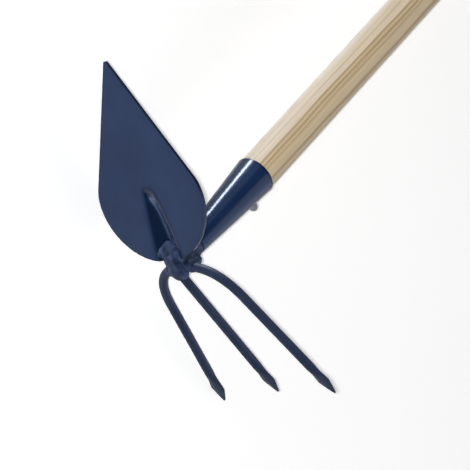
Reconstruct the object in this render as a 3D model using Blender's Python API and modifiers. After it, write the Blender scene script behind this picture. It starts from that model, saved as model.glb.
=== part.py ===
# A long-handled combination hoe: a heart-shaped pointed blade on one side of the
# socket, a three-tine cultivator on the other, on a round wooden handle.
#
# Every piece is modelled in the tool's own frame: X runs up the handle from the
# small end of the socket, Y points to the blade and Z across the blade's width.
# Last, one empty lays the whole tool down on its side, as it rests on a floor.

import math

import bmesh
import bpy
from mathutils import Matrix, Vector

MM = 0.001
SEAT_GAP = 0.3 * MM            # left between two pieces that touch

# Handle, a turned round of softwood
HANDLE_LENGTH = 1200 * MM
HANDLE_RADIUS = 14 * MM
HANDLE_GRIP = 62 * MM          # length held inside the socket
HANDLE_SHOULDER = 7 * MM       # run from the cone to the full diameter
HANDLE_TIP_CHAMFER = 1.5 * MM
BUTT_ROUND = 7 * MM

# Socket, a cone rolled from sheet steel with an open seam
SOCKET_LENGTH = 76.5 * MM
SOCKET_MOUTH_RADIUS = 15 * MM
SOCKET_NOSE_RADIUS = 9 * MM
SOCKET_WALL = 1.2 * MM
SEAM_WIDTH = 0.8 * MM

# Nail that keeps the handle in the socket
NAIL_FROM_MOUTH = 18 * MM
NAIL_SHANK_RADIUS = 1.5 * MM
NAIL_SHANK_LENGTH = 11 * MM
NAIL_POINT = 2.5 * MM
NAIL_HEAD_RADIUS = 3.2 * MM
NAIL_HEAD_HEIGHT = 2.6 * MM

# Blade, a heart-shaped plate with a groove pressed towards the handle
BLADE_THICKNESS = 2 * MM
BLADE_RAKE = math.radians(18.9)         # leans up the handle from square
BLADE_DROP = 25.4 * MM                  # outer face to the socket's small end, on the axis
BLADE_ROOT = 3.5 * MM                   # handle axis to the rounded lower end
BLADE_LENGTH = 143.7 * MM
BLADE_HALF_WIDTH = 53.8 * MM
BLADE_SHOULDER = 43.5 * MM              # lower end to the widest place
BLADE_POINT_ANGLE = math.radians(29.7)  # each straight edge to the centre line
BLADE_POINT_ROUND = 1.6 * MM
SHOULDER_CORNER = 13 * MM               # widest place to the start of the straight edge
CORNER_PULL = 0.36                      # curve handles of the outline, as shares of
FLANK_PULL = 0.48                       # the corner, the shoulder, the half width
BASE_PULL = 0.6                         # and the point's rounding
TIP_PULL = 0.5
OUTLINE_MARGIN = 6 * MM                 # plate beyond the outline before it is cut
GROOVE_LENGTH = 46.2 * MM
GROOVE_HALF_WIDTH = 13.9 * MM           # at the lower end
GROOVE_DEPTH = 8.4 * MM                 # at the lower end
GROOVE_TOP_HALF_WIDTH = 3 * MM
GROOVE_DEPTH_POWER = 0.85

# Tines, round bar with forged spade points
BAR_RADIUS = 3.25 * MM
OUTER_RAKE = math.radians(3.4)
OUTER_DROP = 19.4 * MM
OUTER_BEND_TOP = 5.1 * MM               # handle axis to the middle of the bend
OUTER_BEND_RUN = 32 * MM                # from there to where the legs run straight
OUTER_BEND_HALF_WIDTH = 38.8 * MM
OUTER_SPLAY = math.radians(12.3)
OUTER_LEG = 92.5 * MM
BEND_TOP_PULL = 0.58                    # curve handles of the bend, as shares of its
BEND_LEG_PULL = 0.64                    # half width and of its run
MIDDLE_RAKE = math.radians(6.4)
MIDDLE_DROP = 23.7 * MM
MIDDLE_REACH = 125 * MM
POINT_LENGTH = 11.5 * MM
POINT_FLARE = 16 * MM                   # round bar to the widest place of the point
POINT_HALF_WIDTH = 6 * MM
POINT_HALF_THICKNESS = 2.4 * MM
POINT_END_RADIUS = 0.7 * MM

# Hub, built up in weld metal from the socket's small end over the blade's lower
# end and the roots of the tines
HUB_RADIUS = 13 * MM
HUB_LENGTH = 25.5 * MM
TOE_RADII = (5 * MM, 8.5 * MM, 8.5 * MM)  # lump over the tines' roots: up, out, across
TOE_CENTRE = (-22 * MM, -9 * MM, -1.5 * MM)

ROUND_STEPS = 40
HUB_STEPS = 32
NAIL_STEPS = 24
BAR_STEPS = 16
BEND_STEPS = 8
MERGE = 0.00005


def clear_scene():
    for thing in list(bpy.data.objects):
        bpy.data.objects.remove(thing, do_unlink=True)


def new_collection(name):
    collection = bpy.data.collections.new(name)
    bpy.context.scene.collection.children.link(collection)
    return collection


def new_material(name, colour, roughness, metallic):
    made = bpy.data.materials.new(name)
    made.use_nodes = True
    shader = made.node_tree.nodes["Principled BSDF"]
    shader.inputs["Base Color"].default_value = (*colour, 1)
    shader.inputs["Roughness"].default_value = roughness
    shader.inputs["Metallic"].default_value = metallic
    return made


clear_scene()
tool = new_collection("combination_hoe")
cutters = new_collection("cutters")
floor_pose = bpy.data.objects.new("resting_on_floor", None)
tool.objects.link(floor_pose)


def add_piece(name, data, matrix=None):
    """Put a named piece of the tool into the scene, carried by the empty."""
    piece = bpy.data.objects.new(name, data)
    tool.objects.link(piece)
    piece.parent = floor_pose
    if matrix is not None:
        piece.matrix_local = matrix
    return piece


def make_cutter(piece):
    """Keep a shape only for cutting other pieces."""
    tool.objects.unlink(piece)
    cutters.objects.link(piece)
    piece.hide_render = True
    piece.display_type = "WIRE"
    return piece


def boolean(target, other, operation="DIFFERENCE"):
    step = target.modifiers.new(operation.lower() + "_" + other.name, "BOOLEAN")
    step.operation = operation
    step.object = other
    step.solver = "EXACT"


def even_shading(piece):
    """Let the large flat faces lead the smooth shading."""
    step = piece.modifiers.new("even_shading", "WEIGHTED_NORMAL")
    step.keep_sharp = True


def finish(piece, surface, angle=35):
    """Give the piece its material and smooth shading between its sharp edges."""
    piece.data.materials.append(surface)
    if isinstance(piece.data, bpy.types.Mesh):
        piece.data.shade_smooth()
        piece.data.set_sharp_from_angle(angle=math.radians(angle))


def axes_matrix(x_axis, y_axis, origin):
    """Place a piece whose own X and Y axes point along two directions of the tool."""
    x_axis = Vector(x_axis).normalized()
    y_axis = Vector(y_axis).normalized()
    turn = Matrix((x_axis, y_axis, x_axis.cross(y_axis))).transposed().to_4x4()
    return Matrix.Translation(origin) @ turn


def turned(name, profile, matrix, steps=ROUND_STEPS):
    """Turn a profile of (radius, height) points, given from the top down."""
    mesh = bpy.data.meshes.new(name)
    points = [(radius, 0, height) for radius, height in profile]
    is_ring = profile[0][0] > 0
    edges = [(i, i + 1) for i in range(len(points) - 1)]
    if is_ring:
        edges.append((len(points) - 1, 0))
    mesh.from_pydata(points, edges, [])
    piece = add_piece(name, mesh, matrix)
    screw = piece.modifiers.new("turn", "SCREW")
    screw.steps = steps
    screw.render_steps = steps
    screw.use_merge_vertices = True
    screw.merge_threshold = MERGE
    screw.use_smooth_shade = True
    return piece


def quarter_round(centre, radius, start, end, count=6):
    """Points of (radius, height) along an arc, both ends included."""
    steps = [start + (end - start) * i / count for i in range(count + 1)]
    return [(centre[0] + radius * math.cos(a), centre[1] + radius * math.sin(a)) for a in steps]


# Turned pieces stand with their axis along the handle, or along the nail.
along_handle = axes_matrix((0, 0, -1), (0, 1, 0), (0, 0, 0))


def socket_radius(height):
    """Outside radius of the socket at a distance up from its small end."""
    share = height / SOCKET_LENGTH
    return SOCKET_NOSE_RADIUS + (SOCKET_MOUTH_RADIUS - SOCKET_NOSE_RADIUS) * share


def handle_cone_radius(height):
    """Radius of the handle's tapered end where it sits in the socket."""
    return socket_radius(height) - SOCKET_WALL - SEAT_GAP


nail_height = SOCKET_LENGTH - NAIL_FROM_MOUTH


def make_nail(name, grow=0.0):
    """A dome-headed nail driven square to the handle, on the side of the tines."""
    seat = socket_radius(nail_height) + SEAT_GAP
    dome = [(0, 1), (0.55, 0.86), (0.85, 0.52), (1, 0)]
    profile = [(radius * NAIL_HEAD_RADIUS, rise * NAIL_HEAD_HEIGHT) for radius, rise in dome]
    shank = NAIL_SHANK_RADIUS + grow
    profile += [(shank, 0), (shank, -NAIL_SHANK_LENGTH), (0, -NAIL_SHANK_LENGTH - NAIL_POINT - grow)]
    return turned(name, profile, axes_matrix((1, 0, 0), (0, 0, 1), (nail_height, -seat, 0)), NAIL_STEPS)


def make_socket():
    inner_mouth = SOCKET_MOUTH_RADIUS - SOCKET_WALL
    inner_nose = SOCKET_NOSE_RADIUS - SOCKET_WALL
    profile = [
        (SOCKET_MOUTH_RADIUS, SOCKET_LENGTH),
        (SOCKET_NOSE_RADIUS, 0),
        (inner_nose, 0),
        (inner_mouth, SOCKET_LENGTH),
    ]
    socket = turned("socket", profile, along_handle)
    mesh = bpy.data.meshes.new("seam_cutter")
    shape = bmesh.new()
    bmesh.ops.create_cube(shape, size=1)
    reach = SOCKET_MOUTH_RADIUS * 2
    bmesh.ops.scale(shape, vec=(SOCKET_LENGTH * 1.2, SEAM_WIDTH, reach), verts=shape.verts)
    bmesh.ops.translate(shape, vec=(SOCKET_LENGTH / 2, 0, -reach / 2), verts=shape.verts)
    shape.to_mesh(mesh)
    shape.free()
    seam = make_cutter(add_piece("seam_cutter", mesh))
    boolean(socket, seam)
    return socket


def make_handle():
    low = SOCKET_LENGTH - HANDLE_GRIP
    top = low + HANDLE_LENGTH
    flat = HANDLE_RADIUS - BUTT_ROUND
    chamfer_top = low + HANDLE_TIP_CHAMFER
    profile = [(0, top)]
    profile += quarter_round((flat, top - BUTT_ROUND), BUTT_ROUND, math.pi / 2, 0)
    profile += [
        (HANDLE_RADIUS, SOCKET_LENGTH + HANDLE_SHOULDER),
        (handle_cone_radius(SOCKET_LENGTH), SOCKET_LENGTH),
        (handle_cone_radius(chamfer_top), chamfer_top),
        (handle_cone_radius(low) - HANDLE_TIP_CHAMFER, low),
        (0, low),
    ]
    return turned("handle", profile, along_handle)


def curve_to_mesh(piece):
    """Replace a curve object by its mesh, with the caps welded on."""
    bpy.context.view_layer.update()
    mesh = bpy.data.meshes.new_from_object(piece.evaluated_get(bpy.context.evaluated_depsgraph_get()))
    shape = bmesh.new()
    shape.from_mesh(mesh)
    bmesh.ops.remove_doubles(shape, verts=shape.verts, dist=MERGE)
    shape.to_mesh(mesh)
    shape.free()
    made = add_piece(piece.name + "_mesh", mesh, piece.matrix_local.copy())
    bpy.data.objects.remove(piece, do_unlink=True)
    return made


# The blade's own frame: X from the handle axis to the point, Y across its width,
# Z from the outer face towards the handle.
rake_x = (math.sin(BLADE_RAKE), math.cos(BLADE_RAKE), 0)
blade_matrix = axes_matrix(rake_x, (0, 0, 1), (-BLADE_DROP, 0, 0))
blade_tip = BLADE_ROOT + BLADE_LENGTH
blade_widest = BLADE_ROOT + BLADE_SHOULDER
groove_top = BLADE_ROOT + GROOVE_LENGTH


def blade_outline(grow):
    """The heart-shaped outline as a filled 2D curve, thick enough to cut the sheet."""
    curve = bpy.data.curves.new("blade_outline", "CURVE")
    curve.dimensions = "2D"
    curve.fill_mode = "BOTH"
    curve.resolution_u = 12
    curve.extrude = GROOVE_DEPTH * 2
    edge = Vector((-math.cos(BLADE_POINT_ANGLE), math.sin(BLADE_POINT_ANGLE)))
    point_centre = blade_tip - BLADE_POINT_ROUND
    edge_start = Vector((point_centre, 0))
    edge_start += BLADE_POINT_ROUND * Vector((math.sin(BLADE_POINT_ANGLE), math.cos(BLADE_POINT_ANGLE)))
    straight = (edge_start.x - blade_widest - SHOULDER_CORNER) / math.cos(BLADE_POINT_ANGLE)
    edge_end = edge_start + edge * straight
    corner = CORNER_PULL * SHOULDER_CORNER
    widest = Vector((blade_widest, BLADE_HALF_WIDTH))
    along = Vector((1, 0))
    across = Vector((0, 1))
    flank = FLANK_PULL * BLADE_SHOULDER
    base = BASE_PULL * BLADE_HALF_WIDTH
    tip_round = TIP_PULL * BLADE_POINT_ROUND
    # each entry: place, handle towards the point, handle towards the lower end
    half = [
        (Vector((blade_tip, 0)), -across * tip_round, across * tip_round),
        (edge_start, -edge * tip_round, edge * tip_round),
        (edge_end, -edge * straight / 3, edge * corner),
        (widest, along * corner, -along * flank),
        (Vector((BLADE_ROOT, 0)), across * base, -across * base),
    ]
    mirror = Matrix(((1, 0), (0, -1)))
    points = half + [(mirror @ p, mirror @ b, mirror @ a) for p, a, b in reversed(half[1:-1])]
    spline = curve.splines.new("BEZIER")
    spline.use_cyclic_u = True
    spline.bezier_points.add(len(points) - 1)
    for target, (place, before, after) in zip(spline.bezier_points, points):
        target.handle_left_type = "FREE"
        target.handle_right_type = "FREE"
        target.co = place.to_3d()
        target.handle_left = (place + before).to_3d()
        target.handle_right = (place + after).to_3d()
    curve.offset = grow
    return curve_to_mesh(add_piece("blade_outline", curve, blade_matrix))


# The pressing across its width: place from valley (0) to crest (1), share of its depth.
# Along it: rows across the sheet, as shares of its length down from its top.
groove_rows = (1.2, 1, 0.75, 0.5, 0.3, 0.16, 0.07, 0.02, 0)
groove_profile = [(0, 1), (0.09, 0.96), (0.2, 0.86), (0.5, 0.53), (0.8, 0.2), (0.92, 0.07), (1, 0)]


def groove_half_width(down):
    share = max(down, 0) / GROOVE_LENGTH
    return GROOVE_TOP_HALF_WIDTH + (GROOVE_HALF_WIDTH - GROOVE_TOP_HALF_WIDTH) * share


def groove_depth(down):
    """Depth of the valley at a distance down from the groove's top."""
    return GROOVE_DEPTH * (max(down, 0) / GROOVE_LENGTH) ** GROOVE_DEPTH_POWER


def make_blade(name, grow=0.0):
    """Press the groove into a flat grid, give it its thickness and cut the outline."""
    rows = [groove_top - GROOVE_LENGTH * share for share in groove_rows]
    rows += [groove_top + OUTLINE_MARGIN, blade_tip + OUTLINE_MARGIN]
    edge = BLADE_HALF_WIDTH + OUTLINE_MARGIN
    columns = [(-across, share) for across, share in reversed(groove_profile[1:])] + groove_profile
    shape = bmesh.new()
    x_count = len(rows) - 1
    y_count = len(columns) + 1
    bmesh.ops.create_grid(shape, x_segments=x_count, y_segments=y_count, size=0.5)
    for vert in shape.verts:
        row = rows[round((vert.co.x + 0.5) * x_count)]
        column = round((vert.co.y + 0.5) * y_count) - 1
        down = groove_top - row
        if 0 <= column < len(columns):
            across, share = columns[column]
            vert.co = (row, across * groove_half_width(down), share * groove_depth(down))
        else:
            vert.co = (row, math.copysign(edge, column), 0)
        vert.co.z += BLADE_THICKNESS / 2
    bmesh.ops.recalc_face_normals(shape, faces=shape.faces)
    mesh = bpy.data.meshes.new(name)
    shape.to_mesh(mesh)
    shape.free()
    blade = add_piece(name, mesh, blade_matrix)
    sheet = blade.modifiers.new("thickness", "SOLIDIFY")
    sheet.thickness = BLADE_THICKNESS + 2 * grow
    sheet.offset = 0
    sheet.use_even_offset = True
    boolean(blade, make_cutter(blade_outline(grow)), "INTERSECT")
    return blade


def loft(name, sections, matrix):
    """Skin a bar through elliptical sections (centre, heading, half width, half thickness)."""
    shape = bmesh.new()
    rings = []
    for centre, heading, half_width, half_thickness in sections:
        side = Vector((-heading.y, heading.x, 0)).normalized()
        up = Vector((0, 0, 1))
        ring = []
        for i in range(BAR_STEPS):
            angle = 2 * math.pi * i / BAR_STEPS
            offset = side * half_width * math.cos(angle) + up * half_thickness * math.sin(angle)
            ring.append(shape.verts.new(centre + offset))
        rings.append(ring)
    for first, second in zip(rings, rings[1:]):
        for i in range(BAR_STEPS):
            j = (i + 1) % BAR_STEPS
            shape.faces.new((first[i], first[j], second[j], second[i]))
    shape.faces.new(list(reversed(rings[0])))
    shape.faces.new(rings[-1])
    bmesh.ops.recalc_face_normals(shape, faces=shape.faces)
    mesh = bpy.data.meshes.new(name)
    shape.to_mesh(mesh)
    shape.free()
    return add_piece(name, mesh, matrix)


def point_sections(end, heading, grow):
    """Sections of a spade point, from the round bar to its end."""
    flat = POINT_HALF_THICKNESS / BAR_RADIUS
    wide = POINT_HALF_WIDTH / BAR_RADIUS
    # distance back from the end, width and thickness as shares of the bar's
    stations = [
        (POINT_LENGTH + POINT_FLARE, 1, 1),
        (POINT_LENGTH + POINT_FLARE * 0.5, 1 + (wide - 1) * 0.18, 1 + (flat - 1) * 0.3),
        (POINT_LENGTH + POINT_FLARE * 0.2, 1 + (wide - 1) * 0.6, 1 + (flat - 1) * 0.75),
        (POINT_LENGTH, wide, flat),
        (POINT_LENGTH * 0.85, wide * 0.95, flat * 0.94),
        (POINT_LENGTH * 0.4, wide * 0.5, flat * 0.7),
        (0, POINT_END_RADIUS / BAR_RADIUS, POINT_END_RADIUS / BAR_RADIUS),
    ]
    sections = []
    for back, width, thickness in stations:
        place = end - heading * back
        sections.append((place, heading, BAR_RADIUS * width + grow, BAR_RADIUS * thickness + grow))
    return sections


def make_outer_tines(name, grow=0.0):
    """One bar bent to a U in its own plane, with a spade point at each end."""
    leg_heading = Vector((math.cos(OUTER_SPLAY), math.sin(OUTER_SPLAY), 0))
    top = Vector((OUTER_BEND_TOP, 0, 0))
    leg_start = Vector((OUTER_BEND_TOP + OUTER_BEND_RUN, OUTER_BEND_HALF_WIDTH, 0))
    top_pull = Vector((0, BEND_TOP_PULL * OUTER_BEND_HALF_WIDTH, 0))
    leg_pull = leg_heading * BEND_LEG_PULL * OUTER_BEND_RUN
    a, b, c, d = top, top + top_pull, leg_start - leg_pull, leg_start
    half = []
    for i in range(BEND_STEPS + 1):
        t = i / BEND_STEPS
        s = 1 - t
        place = a * s**3 + b * 3 * s * s * t + c * 3 * s * t * t + d * t**3
        heading = ((b - a) * s * s + (c - b) * 2 * s * t + (d - c) * t * t).normalized()
        half.append((place, heading, BAR_RADIUS + grow, BAR_RADIUS + grow))
    half += point_sections(leg_start + leg_heading * OUTER_LEG, leg_heading, grow)
    flip = Matrix.Diagonal((1, -1, 1))
    other = [(flip @ place, -(flip @ heading), w, t) for place, heading, w, t in reversed(half[1:])]
    x_axis = (math.sin(OUTER_RAKE), -math.cos(OUTER_RAKE), 0)
    return loft(name, other + half, axes_matrix(x_axis, (0, 0, 1), (-OUTER_DROP, 0, 0)))


middle_x = (math.sin(MIDDLE_RAKE), -math.cos(MIDDLE_RAKE), 0)
middle_matrix = axes_matrix(middle_x, (0, 0, 1), (-MIDDLE_DROP, 0, 0))


def make_middle_tine(name, grow=0.0):
    """A straight tine whose root is notched to sit on the outer bar."""
    heading = Vector((1, 0, 0))
    root = Vector((OUTER_BEND_TOP, 0, 0))
    end = Vector((MIDDLE_REACH, 0, 0))
    sections = [(root, heading, BAR_RADIUS + grow, BAR_RADIUS + grow)]
    sections += point_sections(end, heading, grow)
    return loft(name, sections, middle_matrix)


def make_toe():
    """A flattened ball of weld metal over the roots of the three tines."""
    shape = bmesh.new()
    bmesh.ops.create_uvsphere(shape, u_segments=HUB_STEPS, v_segments=HUB_STEPS // 2, radius=1)
    bmesh.ops.scale(shape, vec=TOE_RADII, verts=shape.verts)
    bmesh.ops.translate(shape, vec=TOE_CENTRE, verts=shape.verts)
    mesh = bpy.data.meshes.new("hub_toe")
    shape.to_mesh(mesh)
    shape.free()
    return make_cutter(add_piece("hub_toe", mesh))


def make_hub_weld(neighbours):
    """A domed bell under the socket that takes in the blade's end and the tines' roots."""
    top = SOCKET_NOSE_RADIUS - SEAT_GAP
    flare = HUB_RADIUS - top
    # radius and height down the bell's outer side
    profile = [
        (0, -SEAT_GAP),
        (top, -SEAT_GAP),
        (top + flare * 0.3, -HUB_LENGTH * 0.06),
        (top + flare * 0.6, -HUB_LENGTH * 0.18),
        (top + flare * 0.9, -HUB_LENGTH * 0.34),
        (HUB_RADIUS, -HUB_LENGTH * 0.52),
        (HUB_RADIUS * 0.93, -HUB_LENGTH * 0.72),
        (HUB_RADIUS * 0.73, -HUB_LENGTH * 0.89),
        (HUB_RADIUS * 0.42, -HUB_LENGTH * 0.98),
        (0, -HUB_LENGTH),
    ]
    weld = turned("hub_weld", profile, along_handle, HUB_STEPS)
    boolean(weld, make_toe(), "UNION")
    for neighbour in neighbours:
        boolean(weld, neighbour)
    return weld


def lowest(piece, down):
    """The piece's vertex that lies furthest along a direction, in the tool's frame."""
    shaped = piece.evaluated_get(bpy.context.evaluated_depsgraph_get())
    place = piece.matrix_local
    return max((place @ vert.co for vert in shaped.data.vertices), key=down.dot)


def rest_on_floor(pieces, feet):
    """Turn the tool on its side until three pieces touch the floor, origin under its middle."""
    bpy.context.view_layer.update()
    up = Vector((0, 0, 1))
    for _ in range(6):
        a, b, c = [lowest(foot, -up) for foot in feet]
        up = (b - a).cross(c - a).normalized()
        if up.z < 0:
            up = -up
    along = Vector((1, 0, 0))
    along = (along - up * along.dot(up)).normalized()
    turn = Matrix((along, up.cross(along), up)).to_4x4()
    graph = bpy.context.evaluated_depsgraph_get()
    corners = []
    for piece in pieces:
        place = turn @ piece.matrix_local
        corners += [place @ vert.co for vert in piece.evaluated_get(graph).data.vertices]
    low = [min(corner[i] for corner in corners) for i in range(3)]
    high = [max(corner[i] for corner in corners) for i in range(3)]
    shift = Vector((-(low[0] + high[0]) / 2, -(low[1] + high[1]) / 2, -low[2]))
    floor_pose.matrix_world = Matrix.Translation(shift) @ turn
    bpy.context.view_layer.update()


pine = new_material("turned_pine", (0.72, 0.58, 0.40), 0.55, 0.0)
paint = new_material("dark_blue_paint", (0.028, 0.045, 0.100), 0.25, 0.0)
nail_steel = new_material("painted_nail", (0.030, 0.042, 0.080), 0.35, 0.0)

nail = make_nail("socket_nail")
nail_hole = make_cutter(make_nail("nail_hole", grow=SEAT_GAP))
socket = make_socket()
boolean(socket, nail_hole)
handle = make_handle()
boolean(handle, nail_hole)
blade = make_blade("blade")
even_shading(blade)
outer_tines = make_outer_tines("outer_tines")
outer_space = make_cutter(make_outer_tines("outer_tines_space", grow=SEAT_GAP))
middle_tine = make_middle_tine("middle_tine")
boolean(middle_tine, outer_space)
middle_space = make_cutter(make_middle_tine("middle_tine_space", grow=SEAT_GAP))
blade_space = make_cutter(make_blade("blade_space", grow=SEAT_GAP))
hub_weld = make_hub_weld([blade_space, outer_space, middle_space])
even_shading(hub_weld)

for painted in (socket, blade, outer_tines, middle_tine, hub_weld):
    finish(painted, paint)
finish(nail, nail_steel)
finish(handle, pine)

all_pieces = [handle, socket, nail, blade, outer_tines, middle_tine, hub_weld]
rest_on_floor(all_pieces, [blade, outer_tines, handle])
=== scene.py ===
import math

import bpy
from mathutils import Euler, Matrix, Vector, noise


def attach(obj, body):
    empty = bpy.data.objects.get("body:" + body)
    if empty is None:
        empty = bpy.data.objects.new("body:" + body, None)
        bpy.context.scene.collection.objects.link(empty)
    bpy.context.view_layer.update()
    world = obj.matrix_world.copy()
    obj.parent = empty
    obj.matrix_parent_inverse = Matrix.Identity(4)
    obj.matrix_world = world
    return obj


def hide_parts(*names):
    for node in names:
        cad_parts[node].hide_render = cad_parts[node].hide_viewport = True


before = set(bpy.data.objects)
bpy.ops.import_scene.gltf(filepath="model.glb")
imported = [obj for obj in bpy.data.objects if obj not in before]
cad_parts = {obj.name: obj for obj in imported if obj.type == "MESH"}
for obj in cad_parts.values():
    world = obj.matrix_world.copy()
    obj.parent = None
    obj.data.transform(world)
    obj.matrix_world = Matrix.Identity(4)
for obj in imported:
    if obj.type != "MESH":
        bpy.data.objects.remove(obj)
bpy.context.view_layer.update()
mm = 0.001
doubleMm = 0.004              # vertices closer than this become one

# How the tool lies: its own X runs up the handle from the socket's small end,
# Y points to the blade and Z across the blade's width.
lying = {
    "place": (-0.5934987, -0.0044843, 0.0556592),
    "lean": 1.97834,          # degrees, butt down to the floor
    "roll": -2.85397,         # degrees about the handle
}
toolMatrix = (
    Matrix.Translation(lying["place"])
    @ Matrix.Rotation(math.radians(lying["lean"]), 4, "Y")
    @ Matrix.Rotation(math.radians(lying["roll"]), 4, "X")
)


def axesMatrix(xAxis, yAxis, origin):
    # a place whose own X and Y point along two directions of the tool
    xAxis = Vector(xAxis).normalized()
    yAxis = Vector(yAxis).normalized()
    turn = Matrix((xAxis, yAxis, xAxis.cross(yAxis))).transposed().to_4x4()
    return Matrix.Translation(Vector(origin)) @ turn


upHandle = axesMatrix((0, 0, -1), (0, 1, 0), (0, 0, 0))


def pick(piece):
    if bpy.context.object and bpy.context.object.mode != "OBJECT":
        bpy.ops.object.mode_set(mode="OBJECT")
    bpy.ops.object.select_all(action="DESELECT")
    if piece is not None:
        piece.select_set(True)
        bpy.context.view_layer.objects.active = piece


def editWhole(piece):
    pick(piece)
    bpy.ops.object.mode_set(mode="EDIT")
    bpy.ops.mesh.select_all(action="SELECT")


def closeEnds(piece):
    # a face over each open end
    pick(piece)
    bpy.ops.object.mode_set(mode="EDIT")
    bpy.ops.mesh.select_all(action="DESELECT")
    bpy.ops.mesh.select_non_manifold()
    bpy.ops.mesh.fill_holes(sides=0)


def mergeAndTurnOut(piece):
    editWhole(piece)
    bpy.ops.mesh.remove_doubles(threshold=doubleMm * mm)
    bpy.ops.mesh.normals_make_consistent(inside=False)
    bpy.ops.object.mode_set(mode="OBJECT")


def closeAndSmooth(piece, angle):
    # merge doubles, turn the faces outwards, smooth all but the sharp edges
    mergeAndTurnOut(piece)
    bpy.ops.object.shade_smooth_by_angle(angle=math.radians(angle))


def applyAll(piece):
    pick(piece)
    for step in list(piece.modifiers):
        bpy.ops.object.modifier_apply(modifier=step.name)


def seat(piece, matrix):
    # carry a finished piece to its place on the lying tool and leave it in its mesh
    pick(piece)
    piece.matrix_world = toolMatrix @ matrix
    bpy.ops.object.transform_apply(location=True, rotation=True, scale=True)


def pullRings(name, stations, sides):
    # a circle, extruded and resized from ring to ring; radii and heights in mm
    pick(None)
    radius, height = stations[0]
    bpy.ops.mesh.primitive_circle_add(
        vertices=sides, radius=radius * mm, location=(0, 0, height * mm)
    )
    piece = bpy.context.active_object
    piece.name = name
    bpy.ops.object.transform_apply(location=True)
    bpy.ops.object.mode_set(mode="EDIT")
    bpy.ops.mesh.select_all(action="SELECT")
    for (oldRadius, oldHeight), (radius, height) in zip(stations, stations[1:]):
        rise = (0, 0, (height - oldHeight) * mm)
        bpy.ops.mesh.extrude_edges_move(TRANSFORM_OT_translate={"value": rise})
        share = radius / oldRadius
        bpy.ops.transform.resize(value=(share, share, 1), center_override=(0, 0, height * mm))
    bpy.ops.object.mode_set(mode="OBJECT")
    return piece


def arcStations(centreRadius, centreHeight, bend, start, end, steps):
    # (radius, height) along a rounded edge, angles in degrees from outwards to up
    found = []
    for step in range(steps + 1):
        angle = math.radians(start + (end - start) * step / steps)
        radius = centreRadius + bend * math.cos(angle)
        found.append((radius, centreHeight + bend * math.sin(angle)))
    return found


def smoothShare(value):
    value = min(max(value, 0), 1)
    return value * value * (3 - 2 * value)


def begins(value, start, fade):
    # 0 up to the start, 1 from a fade further on
    return smoothShare((value - start) / fade)


def ends(value, stop, fade):
    return smoothShare((stop - value) / fade)


def ridge(value, middle, width):
    return math.exp(-((value - middle) / width) ** 2)


def bezier(a, b, c, d, t):
    s = 1 - t
    return a * s**3 + b * 3 * s * s * t + c * 3 * s * t * t + d * t**3


def linearColour(hexCode):
    # sRGB hex to the linear colour that the shaders take
    parts = [int(hexCode[i:i + 2], 16) / 255 for i in (1, 3, 5)]
    linear = [p / 12.92 if p <= 0.04045 else ((p + 0.055) / 1.055) ** 2.4 for p in parts]
    return tuple(linear) + (1,)


def grey(value):
    return (value, value, value, 1)


def perMetre(sizeMm):
    return 1 / (sizeMm * mm)


def addNode(tree, kind, settings=None, links=None):
    # a link from a node comes from its first output, and stops are a colour ramp's; where
    # a Mix node mixes colours, they are its inputs 6 and 7 and its output 2
    node = tree.nodes.new("ShaderNode" + kind)
    for key, value in (settings or {}).items():
        if key == "stops":
            band = node.color_ramp.elements
            band[0].position, band[0].color = value[0]
            band[1].position, band[1].color = value[-1]
            for place, colour in value[1:-1]:
                band.new(place).color = colour
        elif isinstance(key, int) or key in node.inputs:
            node.inputs[key].default_value = value
        else:
            setattr(node, key, value)
    for key, source in (links or {}).items():
        if isinstance(source, bpy.types.Node):
            source = source.outputs[0]
        tree.links.new(source, node.inputs[key])
    return node


def startMaterial(name):
    made = bpy.data.materials.new(name)
    made.use_nodes = True
    tree = made.node_tree
    shader = tree.nodes["Principled BSDF"]
    where = addNode(tree, "TexCoord")
    return made, tree, shader, where.outputs["Object"]


# the paint on each kind of part: its colours where full and where a little thin, roughness,
# size of the patches between the two, shine as Specular IOR Level, and if painted shade and
# highlight go on it
coats = {
    "dippedBlueEnamel": {
        "colours": ("#12274a", "#172f53"), "roughness": (0.17, 0.27), "patchMm": 30,
        "shine": 0.18, "takesPaintedShading": True,
    },
    "blueEnamelOverBar": {          # greyer over the forge scale of the bars
        "colours": ("#212b44", "#2c374e"), "roughness": (0.46, 0.62), "patchMm": 30,
        "shine": 0.18, "takesPaintedShading": False,
    },
    "greyNailHeadAndHighlight": {    # a light grey head: the bare nail's grey with a painted highlight
        "colours": ("#5c6272", "#aab0ba"), "roughness": (0.46, 0.62), "patchMm": 6,
        "shine": 0.18, "takesPaintedShading": False,
    },
    "blueEnamelOverWeld": {         # duller and unevener over the weld
        "colours": ("#1a263e", "#3a4664"), "roughness": (0.48, 0.64), "patchMm": 6,
        "shine": 0.1, "takesPaintedShading": True, "lumpMm": 1.7, "lumpDepthMm": 0.18,
    },
}
# a point attribute carries painted light into the enamel: 0 as a rule, 1 for painted shade,
# less than 0 for painted highlight
enamelLook = {
    "patchStops": (0.32, 0.72),
    "patchDetail": 3,
    "paintedShadeFactor": 0.42,        # colour and shine are times this at painted shade 1, one over it at painted highlight -1
    "highlightColourMost": 1.4,         # but the colour at most times this, the shine times the next
    "highlightShineMost": 3,
    "highlightGrey": "#586b8a",    # neutral grey of a painted highlight, unseen at the first of these factors and seen alone at the second
    "highlightGreyFrom": 1,            # seen alone at the second
    "highlightGreyTo": 3.2,
    "glossMm": 7,             # size of the duller patches
    "glossDetail": 4,
    "peelMm": 2.6,            # waviness that the dip left
    "peelDetail": 1,
    "peelDepthMm": 0.006,
    "lumpDetail": 2,
}


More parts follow.
